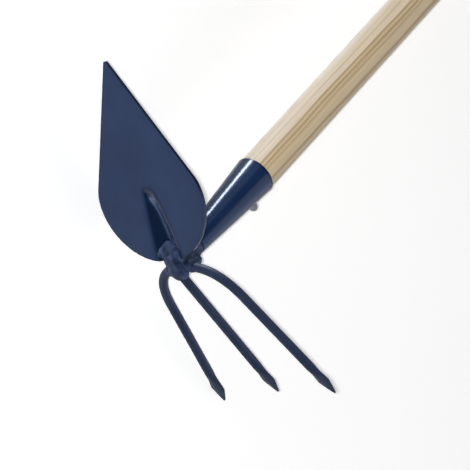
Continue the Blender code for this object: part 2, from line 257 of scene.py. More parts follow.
def paintShadeAndHighlight(tree, shader, colour, shine):
    # painted shade: darker and duller where the attribute is above 0; painted highlight:
    # lighter and shinier where it is below 0, turning to a neutral grey at its strongest
    pool = addNode(tree, "Attribute", {"attribute_name": "pool"}).outputs["Fac"]
    power = {"operation": "POWER", 0: enamelLook["paintedShadeFactor"]}
    shadingFactor = addNode(tree, "Math", power, {1: pool})
    atMost = {"operation": "MINIMUM", 1: enamelLook["highlightColourMost"]}
    shade = addNode(tree, "Math", atMost, {0: shadingFactor})
    shaded = addNode(tree, "VectorMath", {"operation": "SCALE"}, {0: colour, "Scale": shade})
    greyRange = {"From Min": enamelLook["highlightGreyFrom"], "From Max": enamelLook["highlightGreyTo"]}
    greyShare = addNode(tree, "MapRange", greyRange, {"Value": shadingFactor})
    greyOfHighlight = {"data_type": "RGBA", 7: linearColour(enamelLook["highlightGrey"])}
    paintedLightColour = addNode(tree, "Mix", greyOfHighlight, {"Factor": greyShare, 6: shaded})
    tree.links.new(paintedLightColour.outputs[2], shader.inputs["Base Color"])
    atMost = {"operation": "MINIMUM", 1: enamelLook["highlightShineMost"]}
    times = addNode(tree, "Math", atMost, {0: shadingFactor})
    glint = addNode(tree, "Math", {"operation": "MULTIPLY", 1: shine}, {0: times})
    tree.links.new(glint.outputs["Value"], shader.inputs["Specular IOR Level"])


def blueEnamel(name):
    # alkyd enamel, dipped and air dried over black steel: a dark, wet-looking blue whose
    # reflections waver a little, with faint lighter patches
    coat = coats[name]
    made, tree, shader, place = startMaterial(name)
    full, thin = [linearColour(colour) for colour in coat["colours"]]
    size = {"Scale": perMetre(coat["patchMm"]), "Detail": enamelLook["patchDetail"]}
    patches = addNode(tree, "TexNoise", size, {"Vector": place})
    low, high = enamelLook["patchStops"]
    colour = addNode(tree, "ValToRGB", {"stops": [(low, full), (high, thin)]}, {"Fac": patches})
    tree.links.new(colour.outputs["Color"], shader.inputs["Base Color"])
    shader.inputs["Specular IOR Level"].default_value = coat["shine"]
    if coat["takesPaintedShading"]:
        # painted shade and painted highlight from the point attribute
        paintShadeAndHighlight(tree, shader, colour, coat["shine"])
    size = {"Scale": perMetre(enamelLook["glossMm"]), "Detail": enamelLook["glossDetail"]}
    fine = addNode(tree, "TexNoise", size, {"Vector": place})
    low, high = coat["roughness"]
    gloss = addNode(tree, "MapRange", {"To Min": low, "To Max": high}, {"Value": fine})
    tree.links.new(gloss.outputs["Result"], shader.inputs["Roughness"])
    size = {"Scale": perMetre(enamelLook["peelMm"]), "Detail": enamelLook["peelDetail"]}
    peel = addNode(tree, "TexNoise", size, {"Vector": place})
    depth = {"Strength": 1, "Distance": enamelLook["peelDepthMm"] * mm}
    relief = addNode(tree, "Bump", depth, {"Height": peel})
    if "lumpMm" in coat:
        size = {"Scale": perMetre(coat["lumpMm"]), "Detail": enamelLook["lumpDetail"]}
        lumps = addNode(tree, "TexNoise", size, {"Vector": place})
        depth = {"Strength": 1, "Distance": coat["lumpDepthMm"] * mm}
        relief = addNode(tree, "Bump", depth, {"Height": lumps, "Normal": relief})
    tree.links.new(relief.outputs["Normal"], shader.inputs["Normal"])
    return made


pineLook = {
    "pithMm": (0, 40, -21.2),    # the tree's middle, beside the handle
    "leanDegrees": 0.8,          # of the pith to the handle
    "swayMm": 3.2,               # how far the growth lines wander along the handle
    "swaySizeMm": (90.909, 25, 25),     # of each sway, along and across it
    "swayDetail": 2,
    "fibreMm": 0.8,              # width; real ones are finer, but would not show
    "fibreStretch": 50,          # lengths are this many widths
    "fibreDetail": 3,
    "fibreStops": ((0.3, 0.84), (0.65, 1.0)),
    "fibreShare": 0.8,
    "fibreDepthMm": 0.05,
    "roughness": 0.6,
    "shine": 0.2,
    "colours": {                 # early wood from nearly white, painted light on the lit edge, to tan, and late wood
        "litEdgeChalk": "#f0e8da",
        "pale": "#e2d0b5",
        "cream": "#d7c6aa",
        "straw": "#e1caa3",
        "honey": "#dac49c",
        "faintRing": "#c2ab87",
        "ring": "#b19875",
    },
}
# growth lines of this billet: distance from the pith in mm and the wood there
growth = [
    (16.0, "cream"), (19.4, "cream"), (20.2, "faintRing"), (21.2, "cream"),
    (25.2, "cream"), (26.4, "faintRing"), (27.4, "cream"), (30.8, "litEdgeChalk"),
    (35.0, "cream"), (38.2, "cream"), (38.9, "faintRing"), (39.7, "cream"),
    (43.3, "pale"), (44.7, "ring"), (46.3, "honey"), (47.7, "ring"),
    (49.0, "honey"), (50.1, "faintRing"), (51.5, "straw"), (54.8, "straw"),
    (56.0, "ring"), (57.2, "straw"), (60.0, "honey"),
]


def sandedPine(name):
    # pine round, turned and sanded, bare: cream wood on one side and tan with close
    # growth lines on the other, all running its length, with fine fibres between them
    made, tree, shader, place = startMaterial(name)
    lies = {
        "vector_type": "TEXTURE",
        "Location": tuple(toolMatrix.translation),
        "Rotation": tuple(toolMatrix.to_euler()),
    }
    inTool = addNode(tree, "Mapping", lies, {"Vector": place})
    slow = [perMetre(size) for size in pineLook["swaySizeMm"]]
    swaying = addNode(tree, "Mapping", {"Scale": slow}, {"Vector": inTool})
    wander = {"Scale": 1, "Detail": pineLook["swayDetail"]}
    sway = addNode(tree, "TexNoise", wander, {"Vector": swaying})
    pith = {
        "Location": [-value * mm for value in pineLook["pithMm"]],
        "Rotation": (0, math.radians(pineLook["leanDegrees"]), 0),
    }
    fromPith = addNode(tree, "Mapping", pith, {"Vector": inTool})
    across = {"operation": "MULTIPLY", 1: (0, 1, 1)}
    apart = addNode(tree, "VectorMath", across, {0: fromPith})
    distance = addNode(tree, "VectorMath", {"operation": "LENGTH"}, {0: apart})
    added = {"operation": "MULTIPLY_ADD", 1: pineLook["swayMm"] * mm}
    swayed = addNode(tree, "Math", added, {0: sway, 2: distance.outputs["Value"]})
    inner, outer = growth[0][0], growth[-1][0]
    halfSway = pineLook["swayMm"] * mm / 2
    years = {"From Min": inner * mm + halfSway, "From Max": outer * mm + halfSway}
    age = addNode(tree, "MapRange", years, {"Value": swayed})
    tones = {name: linearColour(colour) for name, colour in pineLook["colours"].items()}
    stops = [((spot - inner) / (outer - inner), tones[name]) for spot, name in growth]
    wood = addNode(tree, "ValToRGB", {"stops": stops}, {"Fac": age})
    thick = perMetre(pineLook["fibreMm"])
    stretched = (thick / pineLook["fibreStretch"], thick, thick)
    streaks = addNode(tree, "Mapping", {"Scale": stretched}, {"Vector": inTool})
    grain = {"Scale": 1, "Detail": pineLook["fibreDetail"]}
    fibre = addNode(tree, "TexNoise", grain, {"Vector": streaks})
    stops = [(spot, grey(value)) for spot, value in pineLook["fibreStops"]]
    shade = addNode(tree, "ValToRGB", {"stops": stops}, {"Fac": fibre})
    multiply = {"data_type": "RGBA", "blend_type": "MULTIPLY", "Factor": pineLook["fibreShare"]}
    mixed = addNode(tree, "Mix", multiply, {6: wood, 7: shade})
    tree.links.new(mixed.outputs[2], shader.inputs["Base Color"])
    depth = {"Strength": 1, "Distance": pineLook["fibreDepthMm"] * mm}
    relief = addNode(tree, "Bump", depth, {"Height": fibre})
    tree.links.new(relief.outputs["Normal"], shader.inputs["Normal"])
    shader.inputs["Roughness"].default_value = pineLook["roughness"]
    shader.inputs["Specular IOR Level"].default_value = pineLook["shine"]
    return made


enamel = blueEnamel("dippedBlueEnamel")
barEnamel = blueEnamel("blueEnamelOverBar")
nailEnamel = blueEnamel("greyNailHeadAndHighlight")
weldEnamel = blueEnamel("blueEnamelOverWeld")
pine = sandedPine("sandedPineRound")
print("paint and wood made")


def finishPiece(piece, material, slot, *nodes):
    piece.data.materials.clear()
    piece.data.materials.append(material)
    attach(piece, "root")
    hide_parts(*nodes)


handle = {
    "lengthMm": 1200,
    "radiusMm": 13.98,
    "gripMm": 62,             # inside the socket
    "looseMm": 0.3,           # between it and the socket's wall
    "chamferMm": 1.5,         # at its end inside the socket
    "swellMm": ((4, 0.12), (9, 0)),    # above the mouth, what its radius still lacks there
    "buttRoundMm": 7,
    "buttSteps": 10,
    "poleMm": 1,              # radius of the small face that closes each end
    "sides": 96,
    "smoothDegrees": 30,      # edges between faces that turn more than this stay sharp
}
socket = {
    "lengthMm": 76.5,
    "mouthMm": 15,            # outside radii
    "noseMm": 9,
    "wallMm": 1.2,
    "rings": (0.25, 0.5, 0.75, 0.94, 0.958, 0.968),    # shares of its length
    "rimRoundMm": 0.45,
    "rimSteps": 4,
    "mouthRoundMm": 1.2,      # outer edge of the mouth, dressed over to the wood
    "mouthRoundDegrees": 66,
    "mouthSteps": 6,
    "mouthSinkMm": 0.25,      # its inner edge, below the mouth's top, and that edge's rounding
    "mouthInnerMm": 0.1,
    "mouthInnerSteps": 2,
    "mouthShadeMm": 2.8,            # painted shade round the mouth, a dark line at the rim: its width, and how dark
    "mouthShade": 1.2,
    "seamMm": 0.8,
    "seamOverrun": 1.2,       # the cutter's length, in lengths of the socket
    "sides": 128,
    "smoothDegrees": 40,
}


def socketRadius(height):
    share = height / socket["lengthMm"]
    return socket["noseMm"] + (socket["mouthMm"] - socket["noseMm"]) * share


def makeHandle():
    mouth = socket["lengthMm"]
    low = mouth - handle["gripMm"]
    top = low + handle["lengthMm"]
    clearance = socket["wallMm"] + handle["looseMm"]
    chamfer, bend = handle["chamferMm"], handle["buttRoundMm"]
    stations = [
        (handle["poleMm"], low),
        (socketRadius(low) - clearance - chamfer, low),
        (socketRadius(low) - clearance, low + chamfer),
        (socketRadius(mouth) - clearance, mouth),
    ]
    stations += [(handle["radiusMm"] - less, mouth + above) for above, less in handle["swellMm"]]
    flat = handle["radiusMm"] - bend
    stations += arcStations(flat, top - bend, bend, 0, 90, handle["buttSteps"])
    stations += [(handle["poleMm"], top)]
    piece = pullRings("turnedHandle", stations, handle["sides"])
    closeEnds(piece)
    closeAndSmooth(piece, handle["smoothDegrees"])
    seat(piece, upHandle)
    finishPiece(piece, pine, "pine", "handle")


makeHandle()
print("handle made")


def makeSocket():
    wall, bend, steps = socket["wallMm"], socket["rimRoundMm"], socket["rimSteps"]
    top = socket["lengthMm"]
    mouth, nose = socket["mouthMm"], socket["noseMm"]
    dressed, turned = socket["mouthRoundMm"], socket["mouthRoundDegrees"]
    inner, sunk = socket["mouthInnerMm"], top - socket["mouthSinkMm"]
    outer = [(nose + (mouth - nose) * share, top * share) for share in socket["rings"]]
    stations = arcStations(nose - bend, bend, bend, -90, 0, steps) + outer
    stations += arcStations(
        mouth - dressed, top - dressed, dressed, 0, turned, socket["mouthSteps"]
    )
    stations += arcStations(
        mouth - wall + inner, sunk, inner, 90, 180, socket["mouthInnerSteps"]
    )
    stations += [(radius - wall, height) for radius, height in reversed(outer)]
    stations += arcStations(nose - wall + bend, bend, bend, 180, 270, steps)
    stations += [stations[0]]
    piece = pullRings("rolledSocket", stations, socket["sides"])
    closeAndSmooth(piece, socket["smoothDegrees"])
    pick(None)
    bpy.ops.mesh.primitive_cube_add(size=1, location=(mouth * mm, 0, top * mm / 2))
    gap = bpy.context.active_object
    gap.scale = (mouth * 2 * mm, socket["seamMm"] * mm, top * socket["seamOverrun"] * mm)
    bpy.ops.object.transform_apply(location=True, rotation=True, scale=True)
    slit = piece.modifiers.new("seam", "BOOLEAN")
    slit.operation = "DIFFERENCE"
    slit.object = gap
    applyAll(piece)
    bpy.data.objects.remove(gap)
    # painted shade at the mouth's rim
    pool = piece.data.attributes.new("pool", "FLOAT", "POINT")
    for vert in piece.data.vertices:
        fromMouth = top - vert.co.z / mm
        mouthDark = socket["mouthShade"] * smoothShare(1 - fromMouth / socket["mouthShadeMm"])
        pool.data[vert.index].value = mouthDark
    pick(piece)
    bpy.ops.object.shade_smooth_by_angle(angle=math.radians(socket["smoothDegrees"]))
    seat(piece, upHandle)
    finishPiece(piece, enamel, "dark_blue_paint", "socket")


makeSocket()
print("socket made")


nail = {
    "fromMouthMm": 17.0,
    "headMm": 3.4,
    "headHeightMm": 4.8,
    "under": 0.94,            # of the head's radius where it meets the socket
    "widest": 0.1,            # of its height where it is widest
    "sunkMm": 0.1,            # into the paint
    "poleMm": 0.05,
    "shankMm": 1.5,
    "lengthMm": 11,
    "domeSteps": 10,
    "sides": 40,
    "smoothDegrees": 35,
}


def makeNail():
    head, rise, shank = nail["headMm"], nail["headHeightMm"], nail["shankMm"]
    low, steps = nail["widest"], nail["domeSteps"]
    stations = [(shank, -nail["lengthMm"]), (shank, 0), (head * nail["under"], 0)]
    for step in range(steps):
        angle = step * math.pi / (2 * steps)
        height = rise * (low + (1 - low) * math.sin(angle))
        stations.append((head * math.cos(angle), height))
    stations += [(nail["poleMm"], rise)]
    piece = pullRings("nailHead", stations, nail["sides"])
    closeEnds(piece)
    closeAndSmooth(piece, nail["smoothDegrees"])
    height = socket["lengthMm"] - nail["fromMouthMm"]
    out = socketRadius(height) - nail["sunkMm"]
    seat(piece, axesMatrix((1, 0, 0), (0, 0, 1), (height * mm, -out * mm, 0)))
    finishPiece(piece, nailEnamel, "painted_nail", "socket_nail")


makeNail()
print("nail made")


blade = {
    "thickMm": 2,
    "rake": 18.9,             # degrees that it leans up the handle
    "dropMm": 25.4,           # outer face below the socket's small end
    "rootMm": 3.5,
    "lengthMm": 143.7,
    "halfWidthMm": 53.8,
    "shoulderMm": 43.5,       # lower end to the widest place
    "endPull": 0.6,           # fullness of the lower end's curve at its middle, at the side
    "sidePull": 0.48,
    "pointAngle": 29.7,
    "pointRoundMm": 1.6,
    "pointPull": 0.5,
    "cornerMm": 13,
    "cornerPull": 0.36,
    "outlineSteps": (24, 30, 10, 26, 6),    # lower end to crest, flank, corner, side, point
    "rings": 66,
    "edgeRoundMm": 0.5,
    "edgeSteps": 3,
    "edgeDegrees": 60,        # edges between faces that turn more than this are rounded
    "smoothDegrees": 50,
    "coat": {                 # painted shade along the edge, painted highlight by it at the lower right
        "edge": 0.8,
        "thin": -0.4,         # a painted highlight along the lower right edge, in a band so wide
        "bandMm": 1.2,
        "bandFade": 0.5,      # in bands, like the place and width of the painted dark line inside
        "line": (1.5, 0.45),
        "endMm": (60, 22),    # up to here along the blade, and its fade
        "rightMm": 38,        # lightest from here outwards
    },
}
groove = {
    "lengthMm": 53.2,
    "halfWidthMm": (4.5, 12.8),      # at its top and at the blade's lower end
    "leastHalfMm": 0.3,
    "depthMm": (2.2, 7.8),           # behind its rounded top end and at the lower end
    "spread": 1.8,                   # 1 grows evenly from top to end, more grows sooner
    "noseMm": 5.5,
    "valley": (-0.7, -0.1),          # shares of the half width that its valley lies off the middle
    "valleyFadeMm": 20,
    "softMm": (1.8, 1.2, 1.1),       # rounding of the left crest, the valley, the right crest
    "softFullMm": 9,                 # half width from which they are full
    "coat": {    # painted shade above 0, painted highlight below 0; most pairs are a distance and the fade there
        "deepMm": 1.6,               # painted shade, full on the left flank from this depth of the groove
        "flankMm": (0.9, 1.4),       # up to this far past the valley
        "top": 0.45,                 # painted shade round the groove's top
        "topMm": (6.5, 2.5),
        "topSideMm": (1.6, 1.2),
        "topAboveMm": (1.5, 1),
        "bead": 0.8,                 # painted shade along the right crest
        "beadMm": (1.3, 1.3),        # how far outside it, and how wide
        "beadFadeMm": 4,
        "nearTopMm": (16.5, 8),      # the streak's painted highlight is stronger and wider down to here
        "beginMm": (6, 2.5),
        "streak": (-0.75, -0.6),     # painted highlight beside the valley, and how much more near the top
        "streakMm": (1.7, 0.8),      # how far past the valley, and how much more
        "streakWideMm": (1.3, 1.9),
        "wall": -0.35,               # painted highlight up the right wall
        "wallMm": (0.5, 1.5),        # from past the valley
        "wallEndMm": (2.2, 1.5),     # to short of the crest
    },
}
rakeAngle = math.radians(blade["rake"])
bladePlace = axesMatrix(
    (math.sin(rakeAngle), math.cos(rakeAngle), 0), (0, 0, 1), (-blade["dropMm"] * mm, 0, 0)
)
grooveTop = blade["rootMm"] + groove["lengthMm"]


def lowerEdge(t):
    # the rounded lower end, from its middle to the widest place
    root = Vector((blade["rootMm"], 0))
    widest = Vector((blade["rootMm"] + blade["shoulderMm"], blade["halfWidthMm"]))
    fromRoot = root + Vector((0, blade["endPull"] * blade["halfWidthMm"]))
    fromSide = widest - Vector((blade["sidePull"] * blade["shoulderMm"], 0))
    return bezier(root, fromRoot, fromSide, widest, t)


def halfOutline():
    # (along, across) in mm from the middle of the lower end, round the shoulder, to the point
    slope = math.radians(blade["pointAngle"])
    edge = Vector((-math.cos(slope), math.sin(slope)))
    bend = blade["pointRoundMm"]
    tip = Vector((blade["rootMm"] + blade["lengthMm"], 0))
    start = Vector((tip.x - bend, 0)) + bend * Vector((math.sin(slope), math.cos(slope)))
    widest = lowerEdge(1)
    straight = (start.x - widest.x - blade["cornerMm"]) / math.cos(slope)
    bendEnd = start + edge * straight
    corner = blade["cornerPull"] * blade["cornerMm"]
    pull = blade["pointPull"] * bend
    fineSteps = 1000
    fine = [t / fineSteps for t in range(fineSteps)]
    crest = next(t for t in fine if lowerEdge(t).y >= groove["halfWidthMm"][1])
    toCrest, toWidest, *furtherSteps = blade["outlineSteps"]
    found = [lowerEdge(crest * step / toCrest) for step in range(toCrest)]
    found += [lowerEdge(crest + (1 - crest) * step / toWidest) for step in range(toWidest + 1)]
    curves = [
        (widest, widest + Vector((corner, 0)), bendEnd + edge * corner, bendEnd),
        (bendEnd, bendEnd - edge * straight / 3, start + edge * straight / 3, start),
        (start, start - edge * pull, tip + Vector((0, pull)), tip),
    ]
    for (a, b, c, d), steps in zip(curves, furtherSteps):
        found += [bezier(a, b, c, d, (step + 1) / steps) for step in range(steps)]
    return found


def softRamp(value, radius):
    return (value + math.sqrt(value * value + radius * radius)) / 2


def grown(share):
    # how far the groove has grown at this share of its length
    return 1 - (1 - min(max(share, 0), 1)) ** groove["spread"]


def grooveHalf(down):
    narrow, wide = groove["halfWidthMm"]
    return narrow + (wide - narrow) * grown(down / groove["lengthMm"])


def valleyShare(down):
    top, end = groove["valley"]
    return top + (end - top) * smoothShare(down / groove["valleyFadeMm"])


def grooveDepth(along, across):
    # mm towards the handle: a V with rounded crests and valley, and a rounded top end
    down = grooveTop - along
    if down <= 0:
        return 0
    shallow, deep = groove["depthMm"]
    nose = min(down / groove["noseMm"], 1)
    half = max(grooveHalf(down) * math.sqrt(1 - (1 - nose) ** 2), groove["leastHalfMm"])
    behind = (down - groove["noseMm"]) / (groove["lengthMm"] - groove["noseMm"])
    deepest = shallow * smoothShare(nose) + (deep - shallow) * grown(behind)
    middle = valleyShare(down) * half
    fall, climb = deepest / (half + middle), deepest / (half - middle)
    size = min(half / groove["softFullMm"], 1)
    left, valley, right = [radius * size for radius in groove["softMm"]]
    rise = fall * softRamp(across + half, left) + climb * softRamp(across - half, right)
    return max(rise - (fall + climb) * softRamp(across - middle, valley), 0)


def grooveShading(along, across, depth):
    # painted shade in and round the groove: on its left flank, round its top and along its
    # right crest; painted highlight in a streak beside the valley and up the right wall
    down = grooveTop - along
    half = grooveHalf(down)
    middle = valleyShare(down) * half
    coat = groove["coat"]
    past, fade = coat["flankMm"]
    flank = smoothShare(depth / coat["deepMm"]) * ends(across, middle + past, fade)
    past, fade = coat["topSideMm"]
    above, aboveFade = coat["topAboveMm"]
    top = ends(down, *coat["topMm"]) * ends(abs(across), half + past, fade)
    top *= begins(down, -above, aboveFade)
    past, wide = coat["beadMm"]
    bead = ridge(across, half + past, wide) * begins(down, 0, coat["beadFadeMm"])
    nearTop = ends(down, *coat["nearTopMm"])
    begun = begins(down, *coat["beginMm"])
    streak, past, wide = [
        plain + more * nearTop
        for plain, more in (coat["streak"], coat["streakMm"], coat["streakWideMm"])
    ]
    inStreak = ridge(across, middle + past, wide) * begun
    past, fade = coat["wallMm"]
    short, shortFade = coat["wallEndMm"]
    wall = begins(across, middle + past, fade) * ends(across, half - short, shortFade) * begun
    thick = max(flank, coat["top"] * top, coat["bead"] * bead) * (1 - inStreak)
    return thick + streak * inStreak + coat["wall"] * wall


def edgeShading(spot, inward):
    # what the edge adds, inward mm from it, and the least there: a painted highlight band
    # with a painted dark line inside it at the lower right, and painted shade on the edge
    # elsewhere
    coat = blade["coat"]
    litEdge = ends(spot.x, *coat["endMm"]) * smoothShare(spot.y / coat["rightMm"])
    bands = inward / coat["bandMm"]
    light = ends(bands, 1, coat["bandFade"]) - ridge(bands, *coat["line"])
    onEdge = inward < doubleMm
    return litEdge * coat["thin"] * light, coat["edge"] * (1 - litEdge) if onEdge else -math.inf


def makeBlade():
    # a grid wrapped round the place where the groove's crests would meet: its rows
    # become rings and its columns spokes, so that a spoke runs along each crest
    half = halfOutline()
    outline = half + [Vector((spot.x, -spot.y)) for spot in reversed(half[:-1])]
    narrow, wide = groove["halfWidthMm"]
    centre = Vector((grooveTop + narrow / (wide - narrow) * groove["lengthMm"], 0))
    spokes = len(outline) - 1
    pick(None)
    bpy.ops.mesh.primitive_grid_add(
        x_subdivisions=blade["rings"], y_subdivisions=spokes, size=2
    )
    piece = bpy.context.active_object
    piece.name = "pressedBlade"
    pool = piece.data.attributes.new("pool", "FLOAT", "POINT")
    for vert in piece.data.vertices:    # the grid runs from -1 to 1 both ways
        rim = outline[round((vert.co.y + 1) / 2 * spokes)]
        spot = centre.lerp(rim, (vert.co.x + 1) / 2)
        depth = grooveDepth(spot.x, spot.y)
        vert.co = (spot.x * mm, spot.y * mm, depth * mm)
        # painted shade and highlight of the groove and the edge, kept on each point
        added, least = edgeShading(spot, (rim - spot).length)
        coat = grooveShading(spot.x, spot.y, depth) + added
        pool.data[vert.index].value = max(coat, least)
    mergeAndTurnOut(piece)
    facing = sum(face.normal.z * face.area for face in piece.data.polygons)
    sheet = piece.modifiers.new("thickness", "SOLIDIFY")
    sheet.thickness = blade["thickMm"] * mm
    sheet.offset = -1 if facing < 0 else 1
    edge = piece.modifiers.new("edge", "BEVEL")
    edge.width = blade["edgeRoundMm"] * mm
    edge.segments = blade["edgeSteps"]
    edge.limit_method = "ANGLE"
    edge.angle_limit = math.radians(blade["edgeDegrees"])
    applyAll(piece)
    closeAndSmooth(piece, blade["smoothDegrees"])
    seat(piece, bladePlace)
    finishPiece(piece, enamel, "dark_blue_paint", "blade")


makeBlade()
print("blade made")


tines = {
    "radiusMm": 3.25,
    "outerRake": 3.4,         # degrees that they lean up the handle
    "outerDropMm": 19.4,      # middle of the bar below the socket's small end
    "bendTopMm": 5.1,
    "bendRunMm": 32,
    "bendHalfWidthMm": 38.8,
    "topPull": 0.58,          # fullness of the bend at its top and at the legs
    "legPull": 0.64,
    "splay": 12.3,
    "legMm": 92.48,
    "middleRake": 6.4,
    "middleDropMm": 23.7,
    "middleReachMm": 125,
    "bendSteps": 24,
    "legShares": (1, 0.8, 0.6, 0.45),    # of its length back from its end, where it has rings
    "roundness": 8,           # the bar gets four sides and twice this more
    "smoothDegrees": 50,
}
point = {
    "lengthMm": 11.5,
    "flareMm": 16,            # over which the round bar widens to it
    "flareCurve": 1.3,
    "flareSteps": 12,
    "tipCurve": 0.9,
    "tipSteps": 10,
    "halfWidthMm": 5.98,
    "edgeMm": 0.35,           # half thickness along its edges
    "facet": 14,              # degrees from the edges up to the ridge
    "endMm": 0.7,
    "levelMm": 0.01,          # no higher than this counts as on the edge
}


def tinePlace(rake, dropMm):
    angle = math.radians(rake)
    return axesMatrix((math.sin(angle), -math.cos(angle), 0), (0, 0, 1), (-dropMm * mm, 0, 0))


def pointShape(back):
    # how far the bar is flattened and half its width there, in mm
    wide, bar, end = point["halfWidthMm"], tines["radiusMm"], point["endMm"]
    if back > point["lengthMm"]:
        share = ends(back, point["lengthMm"] + point["flareMm"], point["flareMm"])
        return share, bar + (wide - bar) * share ** point["flareCurve"]
    share = max(back, 0) / point["lengthMm"]
    return 1, end + (wide - end) * share ** point["tipCurve"]


def barFrom(name, centres):
    # a round bar along a flat line of points, its ends filled
    line = bpy.data.curves.new(name, "CURVE")
    line.dimensions = "3D"
    line.bevel_depth = tines["radiusMm"] * mm
    line.bevel_resolution = tines["roundness"]
    line.use_fill_caps = True
    run = line.splines.new("POLY")
    run.points.add(len(centres) - 1)
    for target, centre in zip(run.points, centres):
        target.co = (centre.x * mm, centre.y * mm, 0, 1)
    piece = bpy.data.objects.new(name, line)
    bpy.context.scene.collection.objects.link(piece)
    pick(piece)
    bpy.ops.object.convert(target="MESH")
    return bpy.context.active_object


def forgePoint(piece, end, heading):
    # hammer the bar's end flat and wide, with a low ridge on both faces, then to a point
    side = Vector((-heading.y, heading.x))
    slope = math.tan(math.radians(point["facet"]))
    forged = point["lengthMm"] + point["flareMm"]
    for vert in piece.data.vertices:
        flatPlace = Vector((vert.co.x, vert.co.y)) / mm
        back = (end - flatPlace).dot(heading)
        offset = (flatPlace - end).dot(side)
        if back < forged and abs(offset) < 2 * tines["radiusMm"]:
            flattened, halfWidth = pointShape(back)
            moved = offset * halfWidth / tines["radiusMm"]
            height = vert.co.z / mm
            face = point["edgeMm"] + slope * (halfWidth - abs(moved))
            if abs(height) < point["levelMm"]:
                face = 0
            height += (math.copysign(face, height) - height) * flattened
            flatPlace += side * (moved - offset)
            vert.co = (flatPlace.x * mm, flatPlace.y * mm, height * mm)


def straightCentres(start, end, heading):
    # close together where the point is forged
    length = (end - start).dot(heading)
    tip, flare = point["lengthMm"], point["flareMm"]
    backs = [length * share for share in tines["legShares"]] + [tip + flare]
    steps = point["flareSteps"]
    backs += [tip + flare * (1 - (step + 1) / steps) for step in range(steps)]
    steps = point["tipSteps"]
    backs += [tip * (1 - (step + 1) / steps) for step in range(steps)]
    return [end - heading * back for back in backs]


def makeOuterTines():
    splay = math.radians(tines["splay"])
    heading = Vector((math.cos(splay), math.sin(splay)))
    top = Vector((tines["bendTopMm"], 0))
    legStart = top + Vector((tines["bendRunMm"], tines["bendHalfWidthMm"]))
    fromTop = top + Vector((0, tines["topPull"] * tines["bendHalfWidthMm"]))
    fromLeg = legStart - heading * tines["legPull"] * tines["bendRunMm"]
    steps = tines["bendSteps"]
    bend = [bezier(top, fromTop, fromLeg, legStart, step / steps) for step in range(steps)]
    end = legStart + heading * tines["legMm"]
    half = bend + straightCentres(legStart, end, heading)
    other = [Vector((centre.x, -centre.y)) for centre in reversed(half[1:])]
    piece = barFrom("outerTines", other + half)
    forgePoint(piece, end, heading)
    forgePoint(piece, Vector((end.x, -end.y)), Vector((heading.x, -heading.y)))
    closeAndSmooth(piece, tines["smoothDegrees"])
    seat(piece, tinePlace(tines["outerRake"], tines["outerDropMm"]))
    finishPiece(piece, barEnamel, "dark_blue_paint", "outer_tines")


def makeMiddleTine():
    heading = Vector((1, 0))
    start = Vector((tines["bendTopMm"], 0))
    end = Vector((tines["middleReachMm"], 0))
    piece = barFrom("middleTine", straightCentres(start, end, heading))
    forgePoint(piece, end, heading)
    closeAndSmooth(piece, tines["smoothDegrees"])
    seat(piece, tinePlace(tines["middleRake"], tines["middleDropMm"]))
    finishPiece(piece, barEnamel, "dark_blue_paint", "middle_tine")


makeOuterTines()
makeMiddleTine()
print("tines made")


hub = {
    # height below the socket and radius: its crimped lip, a hollow, the swelling
    "profileMm": [
        (-1.5, 1), (-1.5, 7.4), (0.4, 8.8), (3, 9.2), (5.6, 9.6), (6.8, 9.1), (8.6, 9.2),
        (11, 10.1), (14, 11.0), (18, 11.2), (21.5, 10.2), (24.6, 7.5), (25.4, 1),
    ],
    "sides": 64,
    "lumpSides": 32,
    "lumpRings": 20,
    "voxelMm": 0.55,
    "soften": 0.6,
    "softenTimes": 9,
    "smoothLipMm": 3,          # the weld's unevenness grows over this from the socket down
    "roughMm": (0.55, 5.0),    # its height and size
    "ripplesMm": (0.17, 1.8),
    "ripplesAt": (7, 3, 1),    # where the ripples' noise is taken, away from the other's
    "hollowShadeMm": 1.4,           # painted shade in the hollows and painted highlight on the bumps, full at this depth
    "nookShadeMm": (-18.3, -1.4, 11.2),   # painted shade in the nook above the right tine's root
    "nookShadeSizeMm": 3.2,
    "nookShadeEdge": 1.6,         # it ends at this many sizes from its middle
    "proudMm": 0.6,            # how far it stands off the blade's flat face
    "smoothDegrees": 60,
}
# lumps of weld: place (up the handle, to the blade, across) and half sizes, in mm
weldLumps = [
    ((-21.3, -7.2, -2), (5.0, 7.4, 8.5)),       # over the middle tine's root
    ((-19.4, -6.5, -10.5), (4.4, 4.6, 5)),      # left tine's root
    ((-18.6, -5.5, 10.5), (4.8, 4.8, 5)),       # right tine's root
    ((-13.5, -6.6, 8.2), (6.5, 4.0, 4.0)),      # and up to the socket's lip
    ((-21.8, -10.4, 0.6), (3.5, 4.4, 3.7)),     # collar on the middle tine
    ((-21.0, 7.9, -9.6), (2.2, 2.6, 2.8)),      # spread into the blade's groove
    ((-19.4, 9.2, -6.8), (2.8, 3.2, 3)),
    ((-17.9, 10.6, -3.8), (3, 3.4, 3)),
    ((-16.4, 11.8, -1.0), (3, 3.4, 3)),
    ((-24.6, 7.8, -1.5), (1.7, 1.7, 2.2)),      # the last bead, an L laid over the end
    ((-24.8, 8.4, 1.6), (1.8, 1.7, 2.2)),
    ((-24.9, 8.0, 4.4), (1.8, 1.9, 1.9)),
    ((-24.9, 5.6, 5.1), (1.8, 2.2, 1.7)),
    ((-24.9, 2.8, 4.8), (1.8, 2.2, 1.7)),
    ((-24.9, 0.0, 4.2), (1.8, 2.2, 1.7)),
]


def makeLump(place, halves):
    pick(None)
    bpy.ops.mesh.primitive_uv_sphere_add(
        segments=hub["lumpSides"], ring_count=hub["lumpRings"], radius=mm,
        location=Vector(place) * mm,
    )
    lump = bpy.context.active_object
    lump.scale = halves
    bpy.ops.object.transform_apply(location=True, rotation=True, scale=True)
    return lump


